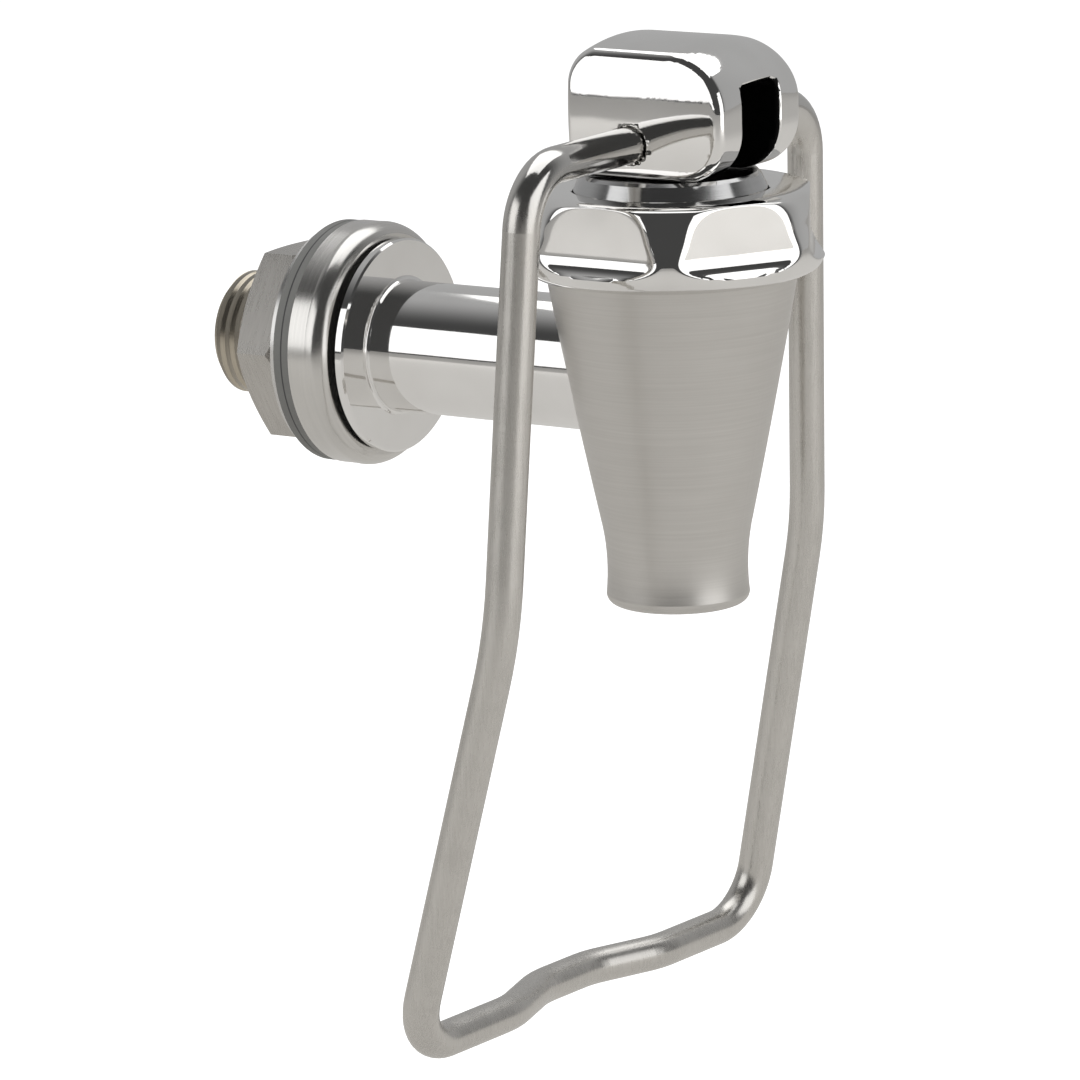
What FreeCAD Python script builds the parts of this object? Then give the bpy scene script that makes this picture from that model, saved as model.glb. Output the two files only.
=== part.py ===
"""Push-back dispensing tap for a lined box or a small tank, in stainless steel.

The tap clamps through a wall by its threaded tail.  A bent wire loop is fixed in a
mirror-polished head.  Pushing the loop back rocks the head on the bonnet, which lifts
the valve stem and opens a silicone seat cup inside the spout.

Row frame, in millimetres: the origin is on the tail's axis, in the plane of the back
nut's outer face.  +X points out of the wall towards the user and +Z is up.  The pieces
are modelled about the point where the spout's axis crosses the arm's axis, and are
moved to the row frame when they are written.
"""
import FreeCAD, Part
import math
import os

from FreeCAD import Vector

# --- clamp stack on the tail, from the back nut's outer face towards the spout ---
thread_radius = 8.0
thread_pitch = 1.5
thread_overrun = 0.4          # engaged thread drawn past the back nut's outer face
back_nut_thickness = 6.9
back_nut_across_flats = 24.0
back_nut_corner_chamfer = 1.7
back_nut_face_inset = 0.3
back_nut_thread_clearance = 0.05
back_nut_mouth_radius = 8.4
tail_washer_thickness = 1.0
tail_washer_radius = 15.0
rear_gasket_thickness = 2.3
rear_gasket_radius = 15.7
escutcheon_depth = 5.2
escutcheon_radius = 15.8
escutcheon_face_radius = 14.4
escutcheon_shoulder = 2.6
flange_seal_thickness = 0.6
flange_seal_radius = 12.6
flange_thickness = 1.4
flange_radius = 13.9
flange_rim_chamfer = 0.25
tail_stub_length = 7.6
tail_chamfer = 1.0
stack_bore_clearance = 0.2

# --- arm ---
arm_radius = 8.5
arm_length = 41.1             # flange's front face to the spout's axis
arm_bore_radius = 5.2
arm_end_setback = 9.9         # inner end of the arm, short of the spout's axis
arm_flange_fillet = 0.6
braze_gap = 0.03

# --- spout body, heights measured from the arm's axis ---
outlet_drop = 29.6
outlet_lip_radius = 9.1
outlet_lip_rounding = 1.3
outlet_bore_radius = 6.9
outlet_bore_length = 15.0
waist_radius = 8.95
waist_drop = 23.9
cone_foot_radius = 9.45
cone_foot_drop = 19.6
cone_top_radius = 15.9
cone_bulge = 0.12
shoulder_height = 12.9
neck_radius = 14.0
neck_height = 17.6
chamber_radius = 11.4
chamber_taper_top = 6.0
seat_outer_radius = 9.2
seat_top_drop = 5.5
seat_inner_radius = 5.4
seat_foot_drop = 11.0
seat_land = 1.0

# --- bonnet nut ---
nut_height = 10.6
nut_across_flats = 37.9
nut_belly_radius = 20.5
nut_top_radius = 17.1
nut_foot_radius = 17.3
nut_foot_curl = 2.1
nut_foot_curl_height = 0.75
nut_belly_height = 2.9
nut_shoulder_drop = 3.9
nut_shoulder_inset = 0.35
nut_crown_drop = 1.35
nut_crown_inset = 1.35
nut_lip_thickness = 3.1
nut_facet_rounding = 0.9
nut_thread_clearance = 0.12

# --- bonnet ---
bonnet_flange_radius = 13.9
bonnet_flange_thickness = 1.4
bonnet_neck_radius = 12.2
bonnet_top_radius = 11.2
bonnet_stand = 2.1            # how far the bonnet stands above the nut's top
bonnet_neck_clearance = 0.15
bonnet_cavity_radius = 9.0
bonnet_roof = 3.2
bonnet_edge = 0.4
stem_guide_clearance = 0.06

# --- seat cup, silicone ---
cup_rim_thickness = 1.4
cup_rim_radius = 13.8
cup_wall = 1.0
cup_outer_radius = 9.4
cup_taper_top = 8.0
cup_bulb_radius = 7.4
cup_bulb_drop = 4.2
cup_bulb_side = 2.2
cup_cover_thickness = 1.2
cup_sole_radius = 3.6
cup_sole_drop = 10.4
cup_sole_thickness = 2.2
cup_button_clearance = 0.05

# --- valve stem and spring ---
stem_radius = 3.0
button_radius = 4.4
button_thickness = 1.8
shoulder_radius = 4.6
shoulder_thickness = 1.4
spring_shoulder_height = 3.0
spring_washer_radius = 7.4
spring_washer_thickness = 1.0
spring_washer_clearance = 0.1
spring_coil_radius = 6.1
spring_wire_radius = 0.6
spring_turns = 6.5
eye_radius = 4.1
eye_half_width = 4.3
eye_clearance = 0.05
eye_rounding = 0.4

# --- lever head ---
head_back = 9.9               # from the pivot to the back face
head_front = 13.2             # from the pivot to the front face
head_half_width = 9.8
head_seat_clearance = 0.1
head_height = 16.5
pivot_above_sole = 4.4
head_top_front_radius = 7.6
head_top_back_radius = 4.4
head_sole_front_radius = 6.2
head_sole_back_radius = 1.6
head_edge_rounding = 1.1
slot_half_width = 4.5
slot_height = 11.5
slot_back = 5.2
slot_corner_radius = 1.2
slot_edge_bevel = 0.3
grip_clearance = 0.02
hole_mouth_radius = 2.62
hole_mouth_depth = 0.9

# --- wire lever, centre line measured from the pivot ---
wire_radius = 2.32
wire_end_gap = 1.2
leg_top_half_span = 33.5
leg_knee_half_span = 37.0
leg_foot_half_span = 37.85
knee_back = 2.6
knee_drop = 56.9
foot_back = 15.3
foot_skew = 2.0
foot_drop = 112.15
foot_drop_skew = 0.3
dent_half_width = 16.5
dent_floor_half_width = 5.5
dent_depth = 3.5
top_bend_radius = 7.5
knee_bend_radius = 60.0
foot_bend_radius = 7.5
dent_bend_radius = 14.0

# --- derived places, in the tap frame ---
flange_front = -arm_length
flange_back = flange_front - flange_thickness
seal_back = flange_back - flange_seal_thickness
escutcheon_back = seal_back - escutcheon_depth
gasket_back = escutcheon_back - rear_gasket_thickness
washer_back = gasket_back - tail_washer_thickness
nut_back = washer_back - back_nut_thickness
tail_end = nut_back - tail_stub_length
spout_offset = -nut_back
stack_bore_radius = thread_radius + stack_bore_clearance
engaged_radius = thread_radius - 0.325 * thread_pitch
back_nut_bore_radius = engaged_radius + back_nut_thread_clearance

cup_rim_top = neck_height + cup_rim_thickness
bonnet_flange_top = cup_rim_top + bonnet_flange_thickness
nut_top = bonnet_flange_top + nut_lip_thickness
nut_foot = nut_top - nut_height
bonnet_top = nut_top + bonnet_stand
bonnet_roof_under = bonnet_top - bonnet_roof
head_sole = bonnet_top + head_seat_clearance
pivot_height = head_sole + pivot_above_sole
head_top = head_sole + head_height
spring_seat = spring_shoulder_height + spring_washer_thickness
button_top = -cup_sole_drop + cup_sole_thickness + button_thickness
eye_bore_radius = wire_radius + eye_clearance

UP = Vector(0, 0, 1)
ALONG = Vector(1, 0, 0)
ACROSS = Vector(0, 1, 0)


# --- shared operations ---
def outline(*edges):
    """Face enclosed by edges given as point lists: two points a line, three an arc."""
    made = []
    for points in edges:
        vectors = [Vector(*p) for p in points]
        if len(vectors) == 2:
            made.append(Part.LineSegment(*vectors).toShape())
        else:
            made.append(Part.Arc(*vectors).toShape())
    return Part.Face(Part.Wire(Part.__sortEdges__(made)))


def turned_z(*edges):
    """Solid turned about the spout's axis from (radius, height) edges."""
    face = outline(*[[(r, 0, z) for r, z in edge] for edge in edges])
    return face.revolve(Vector(0, 0, 0), UP, 360)


def turned_x(points):
    """Solid turned about the arm's axis from an (x, radius) polygon."""
    closed = list(points) + [points[0]]
    edges = [[(x, 0, r), (u, 0, s)] for (x, r), (u, s) in zip(closed, closed[1:])]
    return outline(*edges).revolve(Vector(0, 0, 0), ALONG, 360)


def chain(points):
    """Consecutive straight edges through the points."""
    return [[a, b] for a, b in zip(points, points[1:])]


def hexagon(across_flats, start_degrees, place, axis, height):
    """Hexagonal prism with a corner at start_degrees from the frame's first axis."""
    corner = across_flats / 2 / math.cos(math.pi / 6)
    points = []
    for k in range(7):
        angle = math.radians(start_degrees + 60 * k)
        if axis == UP:
            offset = Vector(corner * math.cos(angle), corner * math.sin(angle), 0)
        else:
            offset = Vector(0, corner * math.cos(angle), corner * math.sin(angle))
        points.append(place + offset)
    return Part.Face(Part.makePolygon(points)).extrude(axis * height)


def rounded(shape, radius, wanted):
    """The shape with a fillet on each edge that the test function picks."""
    return shape.makeFillet(radius, [edge for edge in shape.Edges if wanted(edge)])


# --- pieces fixed to the wall ---
def make_spout_body():
    """Cast cone with the valve chamber, the seat and the outlet in it."""
    lip_turn = outlet_lip_rounding * (1 - math.sqrt(0.5))
    foot = -outlet_drop
    middle_height = (shoulder_height - cone_foot_drop) / 2
    middle_radius = (cone_top_radius + cone_foot_radius) / 2 + cone_bulge
    bore_top = foot + outlet_bore_length
    outside = [
        [(neck_radius, neck_height), (neck_radius, shoulder_height)],
        [(neck_radius, shoulder_height), (cone_top_radius, shoulder_height)],
        [(cone_top_radius, shoulder_height), (middle_radius, middle_height),
         (cone_foot_radius, -cone_foot_drop)],
        [(cone_foot_radius, -cone_foot_drop), (waist_radius, -waist_drop),
         (outlet_lip_radius, foot + outlet_lip_rounding)],
        [(outlet_lip_radius, foot + outlet_lip_rounding),
         (outlet_lip_radius - lip_turn, foot + lip_turn),
         (outlet_lip_radius - outlet_lip_rounding, foot)],
    ]
    inside = chain([
        (outlet_lip_radius - outlet_lip_rounding, foot),
        (outlet_bore_radius, foot),
        (outlet_bore_radius, bore_top),
        (seat_inner_radius, -seat_foot_drop - seat_land),
        (seat_inner_radius, -seat_foot_drop),
        (seat_outer_radius, -seat_top_drop),
        (chamber_radius, chamber_taper_top),
        (chamber_radius, neck_height),
        (neck_radius, neck_height),
    ])
    body = turned_z(*outside, *inside)
    socket = Part.makeCylinder(arm_radius + braze_gap, cone_top_radius * 2, Vector(0, 0, 0),
                               -ALONG)
    return body.cut(socket)


def make_shank():
    """Turned arm, flange and threaded tail in one piece, bored through.

    The tail has the thread's crest radius, and its pitch radius where the nut engages.
    """
    rim = flange_rim_chamfer
    runout = thread_radius - engaged_radius
    solid = turned_x([
        (-arm_end_setback, 0), (-arm_end_setback, arm_radius),
        (flange_front, arm_radius),
        (flange_front, flange_radius - rim), (flange_front - rim, flange_radius),
        (flange_back + rim, flange_radius), (flange_back, flange_radius - rim),
        (flange_back, thread_radius),
        (washer_back, thread_radius), (washer_back - runout, engaged_radius),
        (nut_back - thread_overrun + runout, engaged_radius),
        (nut_back - thread_overrun, thread_radius),
        (tail_end + tail_chamfer, thread_radius), (tail_end, thread_radius - tail_chamfer),
        (tail_end, 0),
    ])

    def at_root(edge):
        box = edge.BoundBox
        flat = box.XLength < 1e-6 and abs(box.XMin - flange_front) < 1e-6
        return flat and abs(box.ZMax - arm_radius) < 1e-6

    solid = rounded(solid, arm_flange_fillet, at_root)
    bore = Part.makeCylinder(arm_bore_radius, -tail_end, Vector(tail_end, 0, 0), ALONG)
    return solid.cut(bore)


def ring_x(back, front, bore_radius, outer_radius):
    """Plain ring round the arm's axis."""
    outer = Part.makeCylinder(outer_radius, front - back, Vector(back, 0, 0), ALONG)
    return outer.cut(Part.makeCylinder(bore_radius, front - back, Vector(back, 0, 0), ALONG))


def make_escutcheon_ring():
    """Spun ring with a flat face, a round shoulder and a plain rim."""
    front = seal_back
    shoulder_end = front - escutcheon_shoulder
    turn = math.sqrt(0.5)
    middle_x = front - escutcheon_shoulder * (1 - turn)
    middle_radius = escutcheon_face_radius + (escutcheon_radius - escutcheon_face_radius) * turn
    solid = outline(
        [(front, 0, stack_bore_radius), (front, 0, escutcheon_face_radius)],
        [(front, 0, escutcheon_face_radius), (middle_x, 0, middle_radius),
         (shoulder_end, 0, escutcheon_radius)],
        [(shoulder_end, 0, escutcheon_radius), (escutcheon_back, 0, escutcheon_radius)],
        [(escutcheon_back, 0, escutcheon_radius), (escutcheon_back, 0, stack_bore_radius)],
        [(escutcheon_back, 0, stack_bore_radius), (front, 0, stack_bore_radius)],
    ).revolve(Vector(0, 0, 0), ALONG, 360)
    return solid


def make_back_nut():
    """Hexagon nut with the corners turned off and the bore countersunk on both sides."""
    chamfer = back_nut_corner_chamfer
    prism = hexagon(back_nut_across_flats, 0, Vector(nut_back, 0, 0), ALONG,
                    back_nut_thickness)
    corner = back_nut_across_flats / 2 / math.cos(math.pi / 6)
    face = back_nut_across_flats / 2 - back_nut_face_inset
    mouth = back_nut_mouth_radius
    sink = mouth - back_nut_bore_radius
    blank = turned_x([
        (nut_back, mouth), (nut_back, face), (nut_back + chamfer / 2, corner),
        (washer_back - chamfer, corner), (washer_back, face), (washer_back, mouth),
        (washer_back - sink, back_nut_bore_radius),
        (nut_back + sink, back_nut_bore_radius),
    ])
    return prism.common(blank)


def make_bonnet_nut():
    """Union nut: a turned belly with six shallow facets and a lip that holds the bonnet."""
    points = [
        (nut_foot_radius, nut_foot),
        (nut_foot_radius + nut_foot_curl, nut_foot + nut_foot_curl_height),
        (nut_belly_radius, nut_foot + nut_belly_height),
        (nut_belly_radius - nut_shoulder_inset, nut_top - nut_shoulder_drop),
        (nut_belly_radius - nut_crown_inset, nut_top - nut_crown_drop),
        (nut_top_radius, nut_top),
    ]
    curve = Part.BSplineCurve()
    curve.interpolate([Vector(r, 0, z) for r, z in points])
    wire = Part.Wire([
        curve.toShape(),
        Part.LineSegment(Vector(nut_top_radius, 0, nut_top), Vector(0, 0, nut_top)).toShape(),
        Part.LineSegment(Vector(0, 0, nut_top), Vector(0, 0, nut_foot)).toShape(),
        Part.LineSegment(Vector(0, 0, nut_foot), Vector(nut_foot_radius, 0, nut_foot)).toShape(),
    ])
    blank = Part.Face(wire).revolve(Vector(0, 0, 0), UP, 360)
    prism = hexagon(nut_across_flats, 0, Vector(0, 0, nut_foot - 1), UP, nut_height + 2)
    nut = blank.common(prism)

    def on_facet(edge):
        middle = edge.valueAt((edge.FirstParameter + edge.LastParameter) / 2)
        for k in range(6):
            angle = math.radians(30 + 60 * k)
            reach = middle.x * math.cos(angle) + middle.y * math.sin(angle)
            if abs(reach - nut_across_flats / 2) < 1e-4:
                return True
        return False

    nut = rounded(nut, nut_facet_rounding, on_facet)
    thread = Part.makeCylinder(neck_radius + nut_thread_clearance, bonnet_flange_top - nut_foot,
                               Vector(0, 0, nut_foot))
    mouth = Part.makeCylinder(bonnet_neck_radius + bonnet_neck_clearance, nut_height,
                              Vector(0, 0, nut_foot))
    return nut.cut(thread).cut(mouth)


def make_bonnet():
    """Bonnet clamped by the nut: it guides the stem and carries the rocking head."""
    edge = bonnet_edge
    guide = stem_radius + stem_guide_clearance
    return turned_z(*chain([
        (bonnet_cavity_radius, cup_rim_top),
        (bonnet_flange_radius, cup_rim_top),
        (bonnet_flange_radius, bonnet_flange_top),
        (bonnet_neck_radius, bonnet_flange_top),
        (bonnet_neck_radius, nut_top),
        (bonnet_top_radius + edge / 2, bonnet_top - edge),
        (bonnet_top_radius - edge / 2, bonnet_top),
        (guide, bonnet_top),
        (guide, bonnet_roof_under),
        (bonnet_cavity_radius, bonnet_roof_under),
        (bonnet_cavity_radius, cup_rim_top),
    ]))


def make_seat_cup():
    """Silicone cup: clamped rim, thin wall and a bulb that closes the seat."""
    inner = cup_outer_radius - cup_wall
    bulb_inner = cup_bulb_radius - cup_wall
    pocket_floor = -cup_sole_drop + cup_sole_thickness
    pocket_radius = button_radius + cup_button_clearance
    neck = stem_radius + cup_button_clearance
    return turned_z(*chain([
        (0, -cup_sole_drop),
        (cup_sole_radius, -cup_sole_drop),
        (cup_bulb_radius, -cup_bulb_drop - cup_bulb_side),
        (cup_bulb_radius, -cup_bulb_drop),
        (cup_outer_radius, cup_taper_top),
        (cup_outer_radius, neck_height),
        (cup_rim_radius, neck_height),
        (cup_rim_radius, cup_rim_top),
        (inner, cup_rim_top),
        (inner, cup_taper_top),
        (bulb_inner, -cup_bulb_drop),
        (bulb_inner, button_top + cup_cover_thickness),
        (neck, button_top + cup_cover_thickness),
        (neck, button_top + cup_button_clearance),
        (pocket_radius, button_top + cup_button_clearance),
        (pocket_radius, pocket_floor),
        (0, pocket_floor),
        (0, -cup_sole_drop),
    ]))


# --- pieces that lift ---
def make_valve_stem():
    """Stem with a button for the seat cup, a spring shoulder and an eye for the pivot."""
    button_foot = button_top - button_thickness
    rod = turned_z(*chain([
        (0, button_foot),
        (button_radius, button_foot),
        (button_radius, button_top),
        (stem_radius, button_top),
        (stem_radius, spring_shoulder_height - shoulder_thickness),
        (shoulder_radius, spring_shoulder_height - shoulder_thickness),
        (shoulder_radius, spring_shoulder_height),
        (stem_radius, spring_shoulder_height),
        (stem_radius, pivot_height),
        (0, pivot_height),
        (0, button_foot),
    ]))
    eye_start = Vector(0, -eye_half_width, pivot_height)
    eye = Part.makeCylinder(eye_radius, 2 * eye_half_width, eye_start, ACROSS)
    eye = rounded(eye, eye_rounding, lambda edge: edge.BoundBox.YLength < 1e-6)
    hole = Part.makeCylinder(eye_bore_radius, 2 * eye_half_width, eye_start, ACROSS)
    return rod.fuse(eye).cut(hole).removeSplitter()


def make_spring_washer():
    """Flat washer that the return spring presses on."""
    washer = Part.makeCylinder(spring_washer_radius, spring_washer_thickness,
                               Vector(0, 0, spring_shoulder_height))
    return washer.cut(Part.makeCylinder(stem_radius + spring_washer_clearance,
                                        spring_washer_thickness,
                                        Vector(0, 0, spring_shoulder_height)))


def make_return_spring():
    """Compression spring between the washer and the bonnet's roof."""
    low = spring_seat + spring_wire_radius
    rise = bonnet_roof_under - spring_wire_radius - low
    path = Part.makeHelix(rise / spring_turns, rise, spring_coil_radius)
    path.translate(Vector(0, 0, low))
    section = Part.Wire(Part.makeCircle(spring_wire_radius,
                                        Vector(spring_coil_radius, 0, low), ACROSS))
    return Part.Wire(path.Edges).makePipeShell([section], True, True)


# --- pieces that rock ---
def make_lever_head():
    """Polished head: a rounded block, slotted for the stem and bored for the wire."""
    back, front, foot, top = -head_back, head_front, head_sole, head_top

    def corner(x, z, sign_x, sign_z, radius):
        """Quarter arc between the two sides that meet at a corner of the outline."""
        centre = (x - sign_x * radius, z - sign_z * radius)
        turn = radius * math.sqrt(0.5)
        side = (centre[0] + sign_x * radius, 0, centre[1])
        middle = (centre[0] + sign_x * turn, 0, centre[1] + sign_z * turn)
        level = (centre[0], 0, centre[1] + sign_z * radius)
        return [side, middle, level]

    top_front = corner(front, top, 1, 1, head_top_front_radius)
    top_back = corner(back, top, -1, 1, head_top_back_radius)
    foot_front = corner(front, foot, 1, -1, head_sole_front_radius)
    foot_back = corner(back, foot, -1, -1, head_sole_back_radius)
    face = outline(top_front, top_back, foot_front, foot_back,
                   [top_front[2], top_back[2]], [top_back[0], foot_back[0]],
                   [foot_back[2], foot_front[2]], [foot_front[0], top_front[0]])
    face.translate(Vector(0, -head_half_width, 0))
    block = face.extrude(ACROSS * (2 * head_half_width))

    def on_side(edge):
        box = edge.BoundBox
        return box.YLength < 1e-6

    block = rounded(block, head_edge_rounding, on_side)

    slot_top = foot + slot_height
    slot = Part.makeBox(slot_back + front + 1, 2 * slot_half_width, slot_height + 1,
                        Vector(-slot_back, -slot_half_width, foot - 1))

    def slot_roof_edge(edge):
        box = edge.BoundBox
        level = box.ZLength < 1e-6 and abs(box.ZMin - slot_top) < 1e-6
        return level and box.YLength < 1e-6

    slot = rounded(slot, slot_corner_radius, slot_roof_edge)
    skin = block.Shells[0]
    block = block.cut(slot)

    def slot_mouth(edge):
        samples = [edge.valueAt(edge.FirstParameter * (1 - t) + edge.LastParameter * t)
                   for t in (0.0, 0.5, 1.0)]
        inside = all(abs(point.y) < slot_half_width + 1e-6 for point in samples)
        above_sole = samples[1].z > foot + 1e-3
        return inside and above_sole and Part.Vertex(samples[1]).distToShape(skin)[0] < 1e-6

    mouth = [edge for edge in block.Edges if slot_mouth(edge)]
    block = block.makeChamfer(slot_edge_bevel, mouth)

    pivot = Vector(0, -head_half_width, pivot_height)
    hole = Part.makeCylinder(wire_radius + grip_clearance, 2 * head_half_width, pivot, ACROSS)
    block = block.cut(hole)
    for side in (-1, 1):
        start = Vector(0, side * head_half_width, pivot_height)
        mouth = Part.makeCylinder(hole_mouth_radius, hole_mouth_depth, start, -ACROSS * side)
        block = block.cut(mouth)
    return block


def bent_path(points, radii):
    """Straight runs through the points, joined by tangent arcs of the given radii."""
    edges = []
    start = points[0]
    for before, here, after, radius in zip(points, points[1:], points[2:], radii):
        incoming = (here - before).normalize()
        outgoing = (after - here).normalize()
        turn = incoming.getAngle(outgoing)
        setback = radius * math.tan(turn / 2)
        first = here - incoming * setback
        last = here + outgoing * setback
        inward = (outgoing - incoming).normalize()
        middle = here + inward * (radius / math.cos(turn / 2) - radius)
        edges.append(Part.LineSegment(start, first).toShape())
        edges.append(Part.Arc(first, middle, last).toShape())
        start = last
    edges.append(Part.LineSegment(start, points[-1]).toShape())
    return Part.Wire(edges)


def make_wire_lever():
    """One wire bent to a loop: two pivot ends, two cranked legs and a push bar."""
    def place(x, y, z):
        return Vector(x, y, pivot_height + z)

    def bar_point(y, set_back):
        share = (y + leg_foot_half_span) / (2 * leg_foot_half_span)
        x = -foot_back - foot_skew + share * 2 * foot_skew - set_back
        return place(x, y, -foot_drop + foot_drop_skew - share * 2 * foot_drop_skew)

    points = [
        place(0, -wire_end_gap, 0),
        place(0, -leg_top_half_span, 0),
        place(-knee_back, -leg_knee_half_span, -knee_drop),
        bar_point(-leg_foot_half_span, 0),
        bar_point(-dent_half_width, 0),
        bar_point(-dent_floor_half_width, dent_depth),
        bar_point(dent_floor_half_width, dent_depth),
        bar_point(dent_half_width, 0),
        bar_point(leg_foot_half_span, 0),
        place(-knee_back, leg_knee_half_span, -knee_drop),
        place(0, leg_top_half_span, 0),
        place(0, wire_end_gap, 0),
    ]
    radii = [top_bend_radius, knee_bend_radius, foot_bend_radius,
             dent_bend_radius, dent_bend_radius, dent_bend_radius, dent_bend_radius,
             foot_bend_radius, knee_bend_radius, top_bend_radius]
    path = bent_path(points, radii)
    section = Part.Wire(Part.makeCircle(wire_radius, points[0], ACROSS))
    return path.makePipeShell([section], True, False)


pieces = {
    "spout_body": make_spout_body(),
    "shank": make_shank(),
    "flange_seal": ring_x(seal_back, flange_back, stack_bore_radius, flange_seal_radius),
    "escutcheon_ring": make_escutcheon_ring(),
    "rear_gasket": ring_x(gasket_back, escutcheon_back, stack_bore_radius,
                          rear_gasket_radius),
    "tail_washer": ring_x(washer_back, gasket_back, stack_bore_radius, tail_washer_radius),
    "back_nut": make_back_nut(),
    "bonnet_nut": make_bonnet_nut(),
    "bonnet": make_bonnet(),
    "seat_cup": make_seat_cup(),
    "valve_stem": make_valve_stem(),
    "spring_washer": make_spring_washer(),
    "return_spring": make_return_spring(),
    "lever_head": make_lever_head(),
    "wire_lever": make_wire_lever(),
}

os.makedirs("parts", exist_ok=True)
for name, shape in pieces.items():
    moved = shape.copy()
    moved.translate(Vector(spout_offset, 0, 0))
    moved.exportStep(f"parts/{name}.step")
    box = moved.BoundBox
    print(f"{name}: {len(moved.Solids)} solid, valid {moved.isValid()}, {moved.Volume:.1f} mm3, "
          f"x {box.XMin:.2f}..{box.XMax:.2f}, y {box.YMin:.2f}..{box.YMax:.2f}, "
          f"z {box.ZMin:.2f}..{box.ZMax:.2f}")
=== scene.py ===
"""Push-back dispensing tap in stainless steel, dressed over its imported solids.

Everything is in metres in the row frame: the origin is on the tail's axis behind the back
nut, +X points out of the wall towards the user and +Z is up.
"""
import math

import bmesh
import bpy
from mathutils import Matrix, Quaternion, Vector


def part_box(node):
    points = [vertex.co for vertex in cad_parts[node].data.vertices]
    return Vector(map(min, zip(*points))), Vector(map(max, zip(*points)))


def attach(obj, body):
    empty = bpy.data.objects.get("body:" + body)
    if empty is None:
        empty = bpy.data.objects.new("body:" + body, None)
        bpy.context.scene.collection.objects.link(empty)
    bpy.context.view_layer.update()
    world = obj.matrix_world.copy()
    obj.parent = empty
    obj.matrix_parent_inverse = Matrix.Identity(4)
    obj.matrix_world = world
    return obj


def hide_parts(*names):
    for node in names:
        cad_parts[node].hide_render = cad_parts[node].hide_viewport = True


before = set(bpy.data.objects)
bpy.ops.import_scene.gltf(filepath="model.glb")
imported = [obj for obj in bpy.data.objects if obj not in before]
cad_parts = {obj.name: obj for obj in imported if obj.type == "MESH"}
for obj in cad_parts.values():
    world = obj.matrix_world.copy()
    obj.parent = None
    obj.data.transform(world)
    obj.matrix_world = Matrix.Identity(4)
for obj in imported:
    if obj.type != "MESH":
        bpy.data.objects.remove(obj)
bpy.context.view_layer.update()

# --- Camera -----------------------------------------------------------------------------
# A long lens looks down on the tap from its front right, turned by a little over a degree.
MM = 0.001
spout_low, spout_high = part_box("spout_body")
spout_x = (spout_low.x + spout_high.x) / 2
view_azimuth = math.radians(31.658)
view_height = math.radians(10.885)
view_roll = math.radians(1.400)
view_distance = 769.488 * MM
aim_right, aim_up = -17.304 * MM, -20.910 * MM

crossing = Vector((spout_x, 0, 0))
towards_camera = Vector((
    math.sin(view_azimuth) * math.cos(view_height),
    -math.cos(view_azimuth) * math.cos(view_height),
    math.sin(view_height),
))
right = Vector((math.cos(view_azimuth), math.sin(view_azimuth), 0))
up = towards_camera.cross(right)

camera = bpy.data.objects.new("camera", bpy.data.cameras.new("camera"))
bpy.context.scene.collection.objects.link(camera)
bpy.context.scene.camera = camera
camera.location = crossing + towards_camera * view_distance
aim = crossing + right * aim_right + up * aim_up
camera.rotation_mode = "QUATERNION"
camera.rotation_quaternion = (
    (aim - camera.location).to_track_quat("-Z", "Y") @ Quaternion((0, 0, 1), -view_roll)
)
camera.data.lens = 203.65
camera.data.sensor_width = 36
camera.data.clip_start, camera.data.clip_end = 0.05, 20
bpy.context.scene.view_settings.view_transform = "Standard"


# --- Studio -----------------------------------------------------------------------------
# Two tall soft boxes stand left and right of the camera and a third hangs overhead.  The
# room behind the camera is dark, which gives polished steel its black bands.
def soft_box(name, azimuth, height, distance, width, length, radiance):
    """Area light at a bearing from the camera's, aimed at the tap."""
    lamp = bpy.data.lights.new(name, "AREA")
    lamp.shape = "RECTANGLE"
    lamp.size, lamp.size_y = width, length
    lamp.energy = radiance * math.pi * width * length
    box = bpy.data.objects.new(name, lamp)
    bpy.context.scene.collection.objects.link(box)
    bearing = view_azimuth + math.radians(azimuth)
    rise = math.radians(height)
    offset = Vector((
        math.sin(bearing) * math.cos(rise), -math.cos(bearing) * math.cos(rise), math.sin(rise)
    ))
    box.location = crossing + offset * distance
    box.rotation_mode = "QUATERNION"
    box.rotation_quaternion = offset.to_track_quat("Z", "Y")
    box.visible_camera = False
    return box


soft_box("left_box", -62, 18, 1.0, 0.85, 0.66, 1.3)
soft_box("right_box", 57, 14, 1.0, 0.95, 0.80, 1.3)
soft_box("top_box", 160, 72, 1.0, 1.1, 1.0, 1.3)


# How a finish is written: sums and products of its values are plain expressions.
class Signal:
    """A value on its way through a finish's nodes."""

    def __init__(self, finish, socket):
        self.finish = finish
        self.socket = socket

    def math(self, operation, *terms):
        return self.finish.node(
            "ShaderNodeMath", {"operation": operation}, dict(enumerate((self, *terms)))
        )

    def __add__(self, other):
        return self.math("ADD", other)

    def __mul__(self, other):
        return self.math("MULTIPLY", other)

    def __sub__(self, other):
        return self.math("SUBTRACT", other)

    def __rsub__(self, other):
        return self.finish.node(
            "ShaderNodeMath", {"operation": "SUBTRACT"}, {0: other, 1: self}
        )

    __radd__ = __add__
    __rmul__ = __mul__


class Finish:
    """A node tree that ends in one Principled shader."""

    def __init__(self, tree):
        self.tree = tree

    def node(self, kind, settings=None, inputs=None, output=0):
        made = self.tree.nodes.new(kind)
        for key, value in (settings or {}).items():
            setattr(made, key, value)
        for key, value in (inputs or {}).items():
            if isinstance(value, Signal):
                self.tree.links.new(value.socket, made.inputs[key])
            else:
                made.inputs[key].default_value = value
        return Signal(self, made.outputs[output]) if made.outputs else None


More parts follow.
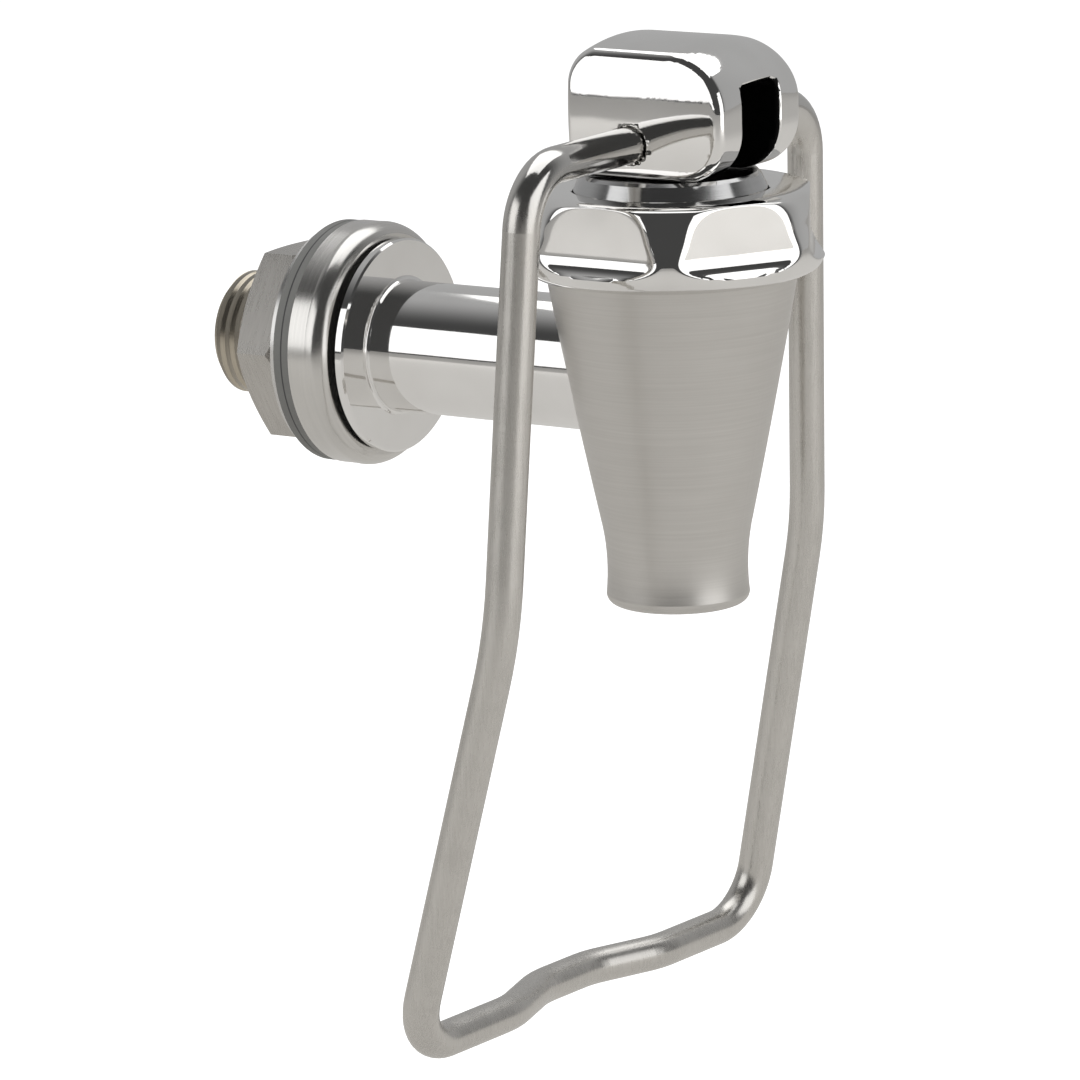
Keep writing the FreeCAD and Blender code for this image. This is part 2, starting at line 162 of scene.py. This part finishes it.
# World: white to the camera, and to steel a dark room with a pale backdrop behind the tap.
world = bpy.data.worlds.new("studio")
bpy.context.scene.world = world
world.use_nodes = True
world.node_tree.nodes.clear()
air = Finish(world.node_tree)
path = "ShaderNodeLightPath"
to_camera = air.node(path, output="Is Camera Ray")
to_diffuse = air.node(path, output="Is Diffuse Ray")
direction = air.node("ShaderNodeTexCoord", output="Generated")
backdrop = air.node(
    "ShaderNodeVectorMath",
    {"operation": "DOT_PRODUCT"},
    {0: direction, 1: (-towards_camera.x, -towards_camera.y, 0)},
    output="Value",
)
dark_room, pale_backdrop, soft_fill = 0.06, 0.42, 0.55
room = air.node("ShaderNodeMapRange", {"interpolation_type": "SMOOTHSTEP"}, {
    "Value": backdrop, "From Min": -0.15, "From Max": 0.5,
    "To Min": dark_room, "To Max": pale_backdrop,
})
seen = air.node("ShaderNodeMix", {"data_type": "FLOAT"}, {0: to_diffuse, 2: room, 3: soft_fill})
strength = air.node("ShaderNodeMix", {"data_type": "FLOAT"}, {0: to_camera, 2: seen, 3: 1.0})
background = air.node("ShaderNodeBackground", None, {"Color": (1, 1, 1, 1), "Strength": strength})
air.node("ShaderNodeOutputWorld", None, {"Surface": background})


# --- Floor ------------------------------------------------------------------------------
# A flat floor lies below the tap.  It glows to the camera and so looks plain white, without
# a visible shadow there, and to every other ray it is warm grey paper.
floor_depth = 0.135
floor_mesh = bpy.data.meshes.new("floor")
floor_mesh.from_pydata(
    [(x, y, -floor_depth) for x, y in ((-3, -3), (3, -3), (3, 3), (-3, 3))], [], [(0, 1, 2, 3)]
)
floor = bpy.data.objects.new("floor", floor_mesh)
bpy.context.scene.collection.objects.link(floor)
paper = bpy.data.materials.new("floor_paper")
paper.use_nodes = True
paper.node_tree.nodes.clear()
sheet = Finish(paper.node_tree)
to_camera = sheet.node("ShaderNodeLightPath", output="Is Camera Ray")
shade = sheet.node("ShaderNodeMix", {"data_type": "RGBA"}, {
    0: to_camera, 6: (0.66, 0.645, 0.62, 1), 7: (0.95, 0.95, 0.95, 1),
}, output=2)
glow = sheet.node("ShaderNodeMix", {"data_type": "RGBA"}, {
    0: to_camera, 6: (0, 0, 0, 1), 7: (0.5, 0.5, 0.5, 1),
}, output=2)
body = sheet.node("ShaderNodeBsdfPrincipled", None, {
    "Base Color": shade, "Roughness": 0.9, "Emission Color": glow, "Emission Strength": 1.0,
})
sheet.node("ShaderNodeOutputMaterial", None, {"Surface": body})
floor_mesh.materials.append(paper)


# --- Spout body -------------------------------------------------------------------------
# A stainless casting with a drop outlet below and a threaded mouth above.  It is brushed
# while it turns, so fine lines run round it, and the shank is welded into its back.
def new_finish(name):
    """An empty material and the finish that fills it."""
    material = bpy.data.materials.new(name)
    material.use_nodes = True
    material.node_tree.nodes.clear()
    return material, Finish(material.node_tree)


def grain(finish, cells, detail=3.0, offset=0.0):
    """Noise through the solid, with its own number of cells to the metre on each axis."""
    place = finish.node("ShaderNodeTexCoord", output="Object")
    laid = finish.node("ShaderNodeMapping", None, {
        "Vector": place, "Location": (offset, offset, offset), "Scale": cells,
    })
    return finish.node("ShaderNodeTexNoise", None, {"Vector": laid, "Scale": 1.0, "Detail": detail})


def blend(finish, factor, first, second):
    """Colour between two, which are plain triples or signals."""
    first, second = (
        colour if isinstance(colour, Signal) else (*colour, 1) for colour in (first, second)
    )
    return finish.node(
        "ShaderNodeMix", {"data_type": "RGBA"}, {0: factor, 6: first, 7: second}, output=2
    )


def relief(finish, height, depth, below=None):
    """Normal of a surface that rises by depth where the height is one."""
    inputs = {"Strength": 1.0, "Distance": depth, "Height": height}
    if below:
        inputs["Normal"] = below
    return finish.node("ShaderNodeBump", None, inputs)


def close(finish, **sockets):
    """Ends the finish in its shader.  Socket names are written with underscores."""
    inputs = {name.replace("_", " "): value for name, value in sockets.items()}
    shader = finish.node("ShaderNodeBsdfPrincipled", None, inputs)
    finish.node("ShaderNodeOutputMaterial", None, {"Surface": shader})


def dress(piece, material):
    piece.data.materials.clear()
    piece.data.materials.append(material)


def steel(name, light, dark, roughness, spread, lines, depth, anisotropy=0.0):
    """Steel with tool lines and slow stains in its colour, roughness and surface."""
    material, finish = new_finish(name)
    marks = grain(finish, lines)
    stains = grain(finish, (110, 110, 110), detail=2.0, offset=3.1)
    close(
        finish,
        Base_Color=blend(finish, marks * 0.6 + stains * 0.4, dark, light),
        Metallic=1.0,
        Roughness=marks * spread + stains * spread + (roughness - spread),
        Anisotropic=anisotropy,
        Normal=relief(finish, marks, depth),
    )
    return material


dress(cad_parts["spout_body"], steel(
    "satin_steel", (0.72, 0.705, 0.68), (0.55, 0.535, 0.51), 0.34, 0.08,
    (60, 60, 4200), 0.004 * MM, anisotropy=0.6,
))


# --- Seat cup, stem, spring and washer -----------------------------------------------------
# The silicone cup closes the outlet from inside.  A turned stem pulls it up, and a coiled
# spring between the bonnet and a pressed washer pushes it down.  All hide inside the body.
def rubber(name, light, dark, roughness, depth):
    """Moulded silicone or rubber with a faint orange-peel skin."""
    material, finish = new_finish(name)
    skin = grain(finish, (2500, 2500, 2500))
    bloom = grain(finish, (160, 160, 160), offset=1.7)
    close(
        finish,
        Base_Color=blend(finish, bloom * 0.7 + skin * 0.3, dark, light),
        Roughness=skin * 0.2 + (roughness - 0.1),
        Normal=relief(finish, skin, depth),
    )
    return material


dress(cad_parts["seat_cup"], rubber(
    "clear_silicone", (0.86, 0.86, 0.83), (0.7, 0.7, 0.67), 0.42, 0.004 * MM,
))
stem_steel = steel(
    "stem_steel", (0.68, 0.67, 0.65), (0.5, 0.49, 0.47), 0.24, 0.06, (80, 80, 5000), 0.003 * MM,
)
dress(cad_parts["valve_stem"], stem_steel)
dress(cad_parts["spring_washer"], stem_steel)
dress(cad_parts["return_spring"], steel(
    "spring_steel", (0.62, 0.61, 0.6), (0.46, 0.45, 0.44), 0.28, 0.06, (900, 900, 900), 0.002 * MM,
))


# --- Bonnet -----------------------------------------------------------------------------
# A turned stainless collar that caps the valve chamber and guides the stem.  Its neck is
# polished less than the nut, and the nut below clamps it down on the body's mouth.
dress(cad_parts["bonnet"], steel(
    "bonnet_steel", (0.6, 0.6, 0.6), (0.46, 0.46, 0.46), 0.14, 0.05, (50, 50, 3800), 0.002 * MM,
))


# --- Bonnet nut -------------------------------------------------------------------------
# A domed stainless ring screwed over the body's mouth.  Six flats for a spanner are milled
# down its side and run out on a radius near the foot, then all of it is buffed to a mirror.
def closed_grid(name, rings):
    """Mesh of rings of points, joined each to the next and the last to the first."""
    count = len(rings[0])
    corners = [corner for ring in rings for corner in ring]
    faces = []
    for row in range(len(rings)):
        here, after = row * count, (row + 1) % len(rings) * count
        for step in range(count):
            last = (step + 1) % count
            faces.append((here + step, here + last, after + last, after + step))
    mesh = bpy.data.meshes.new(name)
    mesh.from_pydata(corners, [], faces)
    return mesh


def shade(mesh, crease):
    """Outward faces, smooth but for creases sharper than the angle in degrees."""
    form = bmesh.new()
    form.from_mesh(mesh)
    bmesh.ops.recalc_face_normals(form, faces=form.faces)
    form.to_mesh(mesh)
    form.free()
    mesh.shade_smooth()
    mesh.set_sharp_from_angle(angle=math.radians(crease))


def stand_in(name, mesh, node, body):
    """Shows a mesh in place of a solid it was shaped after."""
    piece = bpy.data.objects.new(name, mesh)
    bpy.context.scene.collection.objects.link(piece)
    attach(piece, body)
    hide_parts(node)
    return piece


def curve_through(points, steps):
    """Points along a smooth curve through the given ones, steps of them to a span."""
    ends = [points[0], *points, points[-1]]
    course = []
    for before, start, stop, after in zip(ends, ends[1:], ends[2:], ends[3:]):
        for step in range(steps):
            t = step / steps
            course.append(tuple(
                0.5 * (2 * b + (c - a) * t + (2 * a - 5 * b + 4 * c - d) * t * t
                       + (3 * b - a - 3 * c + d) * t ** 3)
                for a, b, c, d in zip(before, start, stop, after)
            ))
    return course + [points[-1]]


# Sizes of the flats in millimetres, from the nut's axis and in the height of the tap.
flat_distance = 17.45
flat_floor = 14.6
cutter_radius = 2.6
flat_edge = 0.35
half_flat = math.pi / 6
around = 720


def flat_at(z):
    """How far the milled flat stands from the axis at a height."""
    drop = flat_floor + cutter_radius - z
    if drop <= 0:
        return flat_distance
    if drop >= cutter_radius:
        return flat_distance + cutter_radius
    return flat_distance + cutter_radius - math.sqrt(cutter_radius ** 2 - drop ** 2)


def nut_ring(radius, z, milled):
    """One ring of the nut in metres, cut by the six flats where it is milled."""
    ring = []
    for step in range(around):
        angle = math.tau * step / around
        reach = radius
        if milled and z > flat_floor:
            off = (angle + half_flat) % (2 * half_flat) - half_flat
            cut = flat_at(z) / math.cos(off)
            over = max(flat_edge - abs(cut - reach), 0) / flat_edge
            reach = min(cut, reach) - over * over * flat_edge / 4
        turned = angle + half_flat
        ring.append((
            spout_x + reach * MM * math.cos(turned), reach * MM * math.sin(turned), z * MM
        ))
    return ring


# The outline, as radius and height in millimetres: the domed side, then mouth and bore.
dome = curve_through([
    (17.2, 23.5), (18.1, 23.1), (18.7, 21.7), (19.05, 19.4), (19.5, 16.0), (18.75, 13.8),
    (17.4, 12.9),
], 11)
mouth = [(12.35, 20.4), (12.35, 21.5), (12.35, 23.2), (12.65, 23.5), (14.8, 23.5)]
bore = [(15.6, 12.9), (14.12, 12.9), (14.12, 13.6), (14.12, 17.0), (14.12, 20.4), (13.2, 20.4)]
nut_mesh = closed_grid("buffed_nut", [
    *(nut_ring(radius, z, False) for radius, z in mouth),
    *(nut_ring(radius, z, True) for radius, z in dome),
    *(nut_ring(radius, z, False) for radius, z in bore),
])
shade(nut_mesh, 40)
nut = stand_in("buffed_nut", nut_mesh, "bonnet_nut", "tap_body")


def buffed(name, roughness, shade_mask_maker=None):
    """Mirror steel: faint waves from the buffing wheel, hairline scratches, slow haze, and painted
    shade in near-black where a shade mask is given.
    """
    material, finish = new_finish(name)
    haze = grain(finish, (140, 140, 140), detail=2.0)
    hairs = grain(finish, (400, 5200, 900), detail=4.0, offset=0.8)
    waves = grain(finish, (190, 190, 190), detail=0.0, offset=5.2)
    colour = blend(finish, haze, (0.8, 0.79, 0.775), (0.9, 0.895, 0.885))
    rough = haze * 0.03 + hairs * 0.02 + (roughness - 0.025)
    if shade_mask_maker:
        # Painted shade: the masked part is coloured near-black as the slot's shadow, and made
        # rougher.
        painted_shade = shade_mask_maker(finish)
        colour = blend(finish, painted_shade, colour, (0.012, 0.012, 0.012))
        rough = rough + painted_shade * 0.4
    close(
        finish,
        Base_Color=colour,
        Metallic=1.0,
        Roughness=rough,
        Normal=relief(finish, waves, 0.022 * MM, relief(finish, hairs, 0.0006 * MM)),
    )
    return material


dress(nut, buffed("polished_steel", 0.05))


# --- Lever head -------------------------------------------------------------------------
# A solid stainless block with a slot up its middle for the stem's eye.  Its sides and top
# are slightly crowned by the buffing, and its flat sole rocks on the bonnet's top.
head_low, head_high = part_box("lever_head")
cut_spacing = 0.8 * MM
form = bmesh.new()
form.from_mesh(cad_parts["lever_head"].data)
bmesh.ops.remove_doubles(form, verts=form.verts, dist=0.001 * MM)
for axis in range(3):
    across = Vector((axis == 0, axis == 1, axis == 2))
    length = head_high[axis] - head_low[axis]
    cuts = int(length / cut_spacing)
    for step in range(1, cuts):
        bmesh.ops.bisect_plane(
            form, geom=form.verts[:] + form.edges[:] + form.faces[:], dist=0.0001 * MM,
            plane_co=across * (head_low[axis] + length * step / cuts), plane_no=across,
        )
bmesh.ops.triangulate(form, faces=form.faces[:])


def ramp(value, start, stop):
    """Climbs from zero at the start to one at the stop."""
    return min(max((value - start) / (stop - start), 0), 1)


# Both crowns in millimetres: their radii, the height where the sides bulge most and the
# rise of the top's middle.  The back and front faces also stand a little further forward.
side_crown, side_apex, half_width = 50, 33.7, 9.8
top_crown, top_rise = 40, 0.5
back_shift, front_shift = 0.75, 0.25
for vertex in form.verts:
    x, y, z = (vertex.co - Vector((spout_x, 0, 0))) / MM
    share = ramp(z, 30, 42)
    shift = ramp(-x, 5, 9.9) * back_shift + ramp(x, 8, 13.2) * front_shift
    fall = (z - side_apex) ** 2 / (2 * side_crown)
    lift = top_rise - y * y / (2 * top_crown)
    vertex.co = Vector((
        spout_x + (x + shift) * MM,
        (y - y / half_width * fall) * MM,
        (z + share * share * (3 - 2 * share) * lift) * MM,
    ))
head_mesh = bpy.data.meshes.new("crowned_head")
form.to_mesh(head_mesh)
form.free()
shade(head_mesh, 40)
head = stand_in("crowned_head", head_mesh, "lever_head", "lever")


slot_half_width = 4.62 * MM
slot_top = 37.35 * MM


def slot_shade_mask(finish):
    """Mask of the painted shade: one over the slot's width and height. It has no depth, so the back
    face is in it too.
    """
    place = finish.node("ShaderNodeTexCoord", output="Object")
    y = finish.node("ShaderNodeSeparateXYZ", None, {0: place}, output=1)
    z = finish.node("ShaderNodeSeparateXYZ", None, {0: place}, output=2)
    narrow = y.math("ABSOLUTE").math("LESS_THAN", slot_half_width)
    return narrow * z.math("LESS_THAN", slot_top)


# The head's slot is painted near-black as shade. A strip of its back face is painted too, because
# the mask has no depth.
dress(head, buffed("polished_head", 0.05, slot_shade_mask))


# --- Wire lever -------------------------------------------------------------------------
# Stainless wire bent to a bail, with its ends pressed into the head.  The legs keep the
# satin of the drawn wire and the top runs are buffed together with the head.
wire_steel, finish = new_finish("wire_steel")
drawn = grain(finish, (3600, 3600, 140))
rubbed = grain(finish, (220, 220, 220), offset=2.4)
height = finish.node(
    "ShaderNodeSeparateXYZ", None,
    {0: finish.node("ShaderNodeTexCoord", output="Object")}, output=2,
)
buffed_end = finish.node("ShaderNodeMapRange", {"interpolation_type": "SMOOTHSTEP"}, {
    "Value": height, "From Min": 24 * MM, "From Max": 31 * MM, "To Min": 0.0, "To Max": 1.0,
})
satin = blend(finish, drawn * 0.6 + rubbed * 0.4, (0.5, 0.485, 0.46), (0.76, 0.74, 0.705))
close(
    finish,
    Base_Color=blend(finish, buffed_end, satin, (0.66, 0.65, 0.63)),
    Metallic=1.0,
    Roughness=drawn * 0.12 + rubbed * 0.08 + 0.18 - buffed_end * 0.17,
    Normal=relief(finish, drawn, 0.006 * MM),
)
dress(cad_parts["wire_lever"], wire_steel)


# --- Shank ------------------------------------------------------------------------------
# A stainless tube turned with its flange, welded to the body and buffed outside.  The tail
# behind the wall is left as cut, and its fine thread is a relief in the finish.
thread_pitch = 1.5 * MM
thread_depth = 0.55 * MM
shank_steel, finish = new_finish("shank_steel")
place = finish.node("ShaderNodeTexCoord", output="Object")
x, y, z = (
    finish.node("ShaderNodeSeparateXYZ", None, {0: place}, output=axis) for axis in range(3)
)
tail_end, thread_start = 15.5 * MM, -0.5 * MM
tail_part = x.math("LESS_THAN", tail_end)
turn = z.math("ARCTAN2", y) * (1 / math.tau) + x * (1 / thread_pitch)
# The ridges have no least radius, so they also show on the wall of the tail's bore.
ridge = turn.math("PINGPONG", 0.5) * 2.0 * x.math("LESS_THAN", thread_start)
lathe = grain(finish, (3600, 90, 90))
haze = grain(finish, (140, 140, 140), detail=2.0)
waves = grain(finish, (150, 150, 150), detail=0.0, offset=5.2)
mirror = blend(finish, haze, (0.8, 0.79, 0.775), (0.9, 0.895, 0.885))
as_cut = blend(finish, lathe, (0.4, 0.36, 0.29), (0.66, 0.6, 0.5))
close(
    finish,
    Base_Color=blend(finish, tail_part, mirror, as_cut),
    Metallic=1.0,
    Roughness=haze * 0.03 + lathe * 0.02 + 0.03 + tail_part * 0.2,
    Normal=relief(finish, ridge, thread_depth, relief(finish, waves, 0.02 * MM)),
)
dress(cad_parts["shank"], shank_steel)


# --- Flange seal ------------------------------------------------------------------------
# A thin black rubber ring let in behind the flange, nipped against the escutcheon.
dress(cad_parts["flange_seal"], rubber(
    "black_rubber", (0.03, 0.03, 0.03), (0.012, 0.012, 0.012), 0.55, 0.006 * MM,
))


# --- Escutcheon ring --------------------------------------------------------------------
# A stainless ring that covers the hole in the box or wall.  It is turned and then brushed
# on the lathe, so the lines on its rim and face run round the tail's axis.
dress(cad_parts["escutcheon_ring"], steel(
    "spun_steel", (0.78, 0.765, 0.74), (0.56, 0.55, 0.53), 0.22, 0.07,
    (5200, 70, 70), 0.005 * MM,
))


# --- Rear gasket ------------------------------------------------------------------------
# A grey silicone washer that seals the tail against the inside of the wall.  The parting
# line of its mould runs round the middle of its edge.
gasket_low, gasket_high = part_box("rear_gasket")
grey_silicone, finish = new_finish("grey_silicone")
x = finish.node(
    "ShaderNodeSeparateXYZ", None,
    {0: finish.node("ShaderNodeTexCoord", output="Object")}, output=0,
)
middle = (gasket_low.x + gasket_high.x) / 2
parting = (x - middle).math("ABSOLUTE").math("LESS_THAN", 0.11 * MM)
skin = grain(finish, (2600, 2600, 2600))
bloom = grain(finish, (200, 200, 200), offset=1.7)
matt = blend(finish, bloom * 0.7 + skin * 0.3, (0.135, 0.135, 0.13), (0.21, 0.21, 0.2))
close(
    finish,
    Base_Color=blend(finish, parting, matt, (0.05, 0.05, 0.05)),
    Roughness=skin * 0.2 + 0.4,
    Normal=relief(finish, skin - parting * 2.0, 0.006 * MM),
)
dress(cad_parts["rear_gasket"], grey_silicone)


# --- Tail washer ------------------------------------------------------------------------
# A plain pressed stainless washer between the gasket and the back nut.
dress(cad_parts["tail_washer"], steel(
    "washer_steel", (0.74, 0.735, 0.72), (0.56, 0.55, 0.54), 0.28, 0.06,
    (2400, 900, 900), 0.003 * MM,
))


# --- Back nut ---------------------------------------------------------------------------
# A stainless hexagon nut, turned and milled and left from the tool, so its flats carry
# straight scratches.  It is screwed up the tail to clamp the tap to the wall.
dress(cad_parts["back_nut"], steel(
    "machined_steel", (0.66, 0.64, 0.61), (0.36, 0.345, 0.32), 0.27, 0.1,
    (4600, 260, 260), 0.008 * MM,
))
